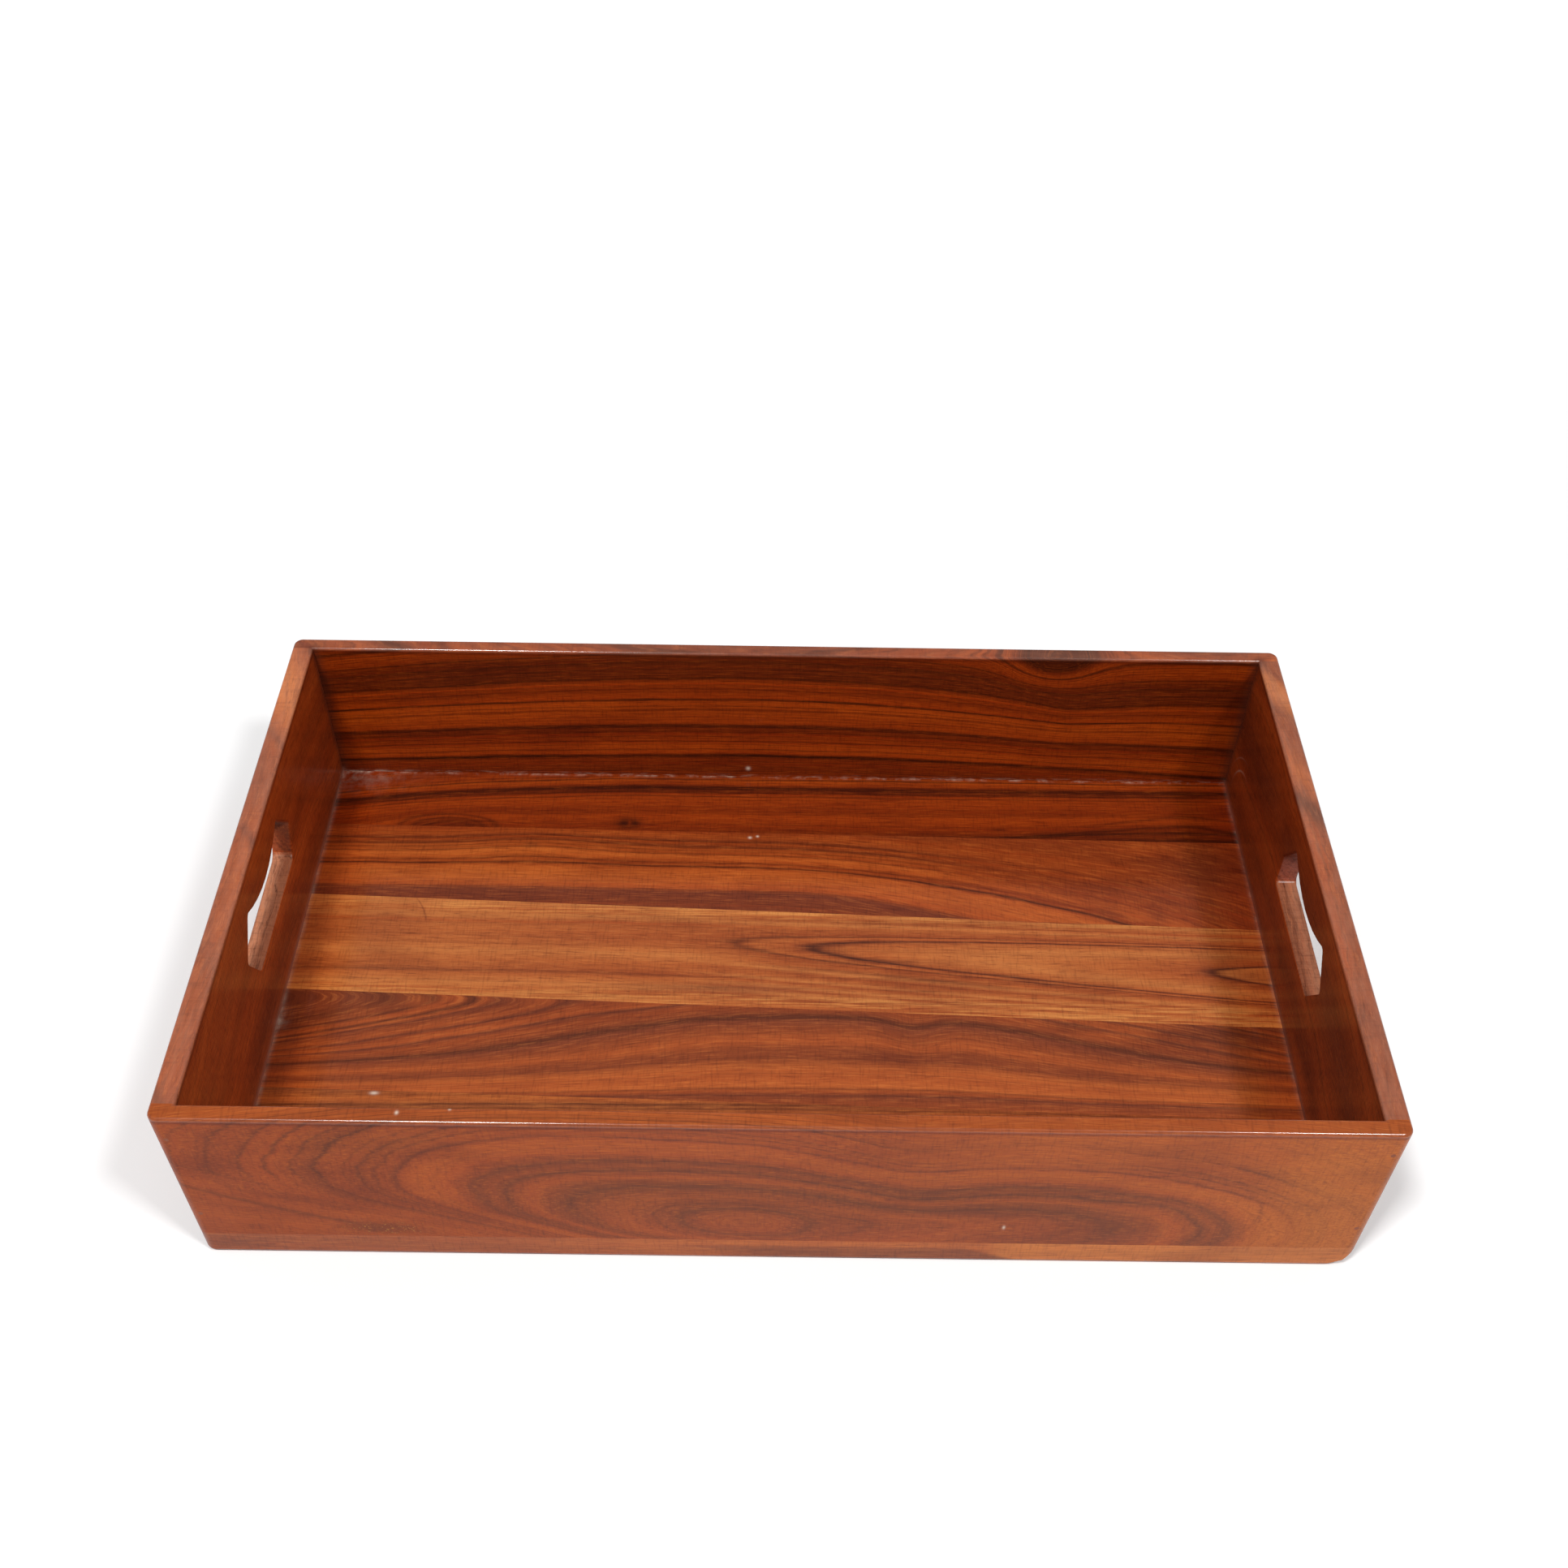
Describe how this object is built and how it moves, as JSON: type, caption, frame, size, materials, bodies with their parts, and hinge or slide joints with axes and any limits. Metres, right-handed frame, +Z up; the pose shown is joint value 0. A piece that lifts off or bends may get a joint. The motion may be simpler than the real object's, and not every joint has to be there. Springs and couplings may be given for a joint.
{
  "type": "serving tray",
  "caption": "Rectangular wooden serving tray with upright sides, an edge-glued plank base and a finger slot through each end.",
  "frame": {"origin": "middle of the underside, on the surface the tray stands on", "axes": "+X along the tray towards its right end, +Y towards its back, +Z up"},
  "size_m": [0.508, 0.305, 0.1],
  "materials": {
    "front_board_wood": "satin lacquer over a red-brown stain",
    "back_board_wood": "satin lacquer over a red-brown stain",
    "left_board_wood": "satin lacquer over a red-brown stain",
    "right_board_wood": "satin lacquer over a red-brown stain",
    "base_plank_1_wood": "satin lacquer over a red-brown stain",
    "base_plank_2_wood": "satin lacquer over a red-brown stain",
    "base_plank_3_wood": "satin lacquer over a red-brown stain",
    "base_plank_4_wood": "satin lacquer over a red-brown stain",
    "base_plank_5_wood": "satin lacquer over a red-brown stain",
    "brad_steel": "plain wire",
    "wood_filler": "dark putty under lacquer"
  },
  "bodies": {
    "root": {"front_board": "front_board_wood", "back_board": "back_board_wood", "left_board": "left_board_wood", "right_board": "right_board_wood", "base_plank_1": "base_plank_1_wood", "base_plank_2": "base_plank_2_wood", "base_plank_3": "base_plank_3_wood", "base_plank_4": "base_plank_4_wood", "base_plank_5": "base_plank_5_wood", "front_left_brads": "brad_steel", "front_right_brads": "brad_steel", "back_left_brads": "brad_steel", "back_right_brads": "brad_steel", "base_front_brads": "brad_steel", "base_back_brads": "brad_steel", "base_left_brads": "brad_steel", "base_right_brads": "brad_steel", "front_fillers": "wood_filler", "back_fillers": "wood_filler", "base_fillers": "wood_filler"}
  },
  "joints": []
}
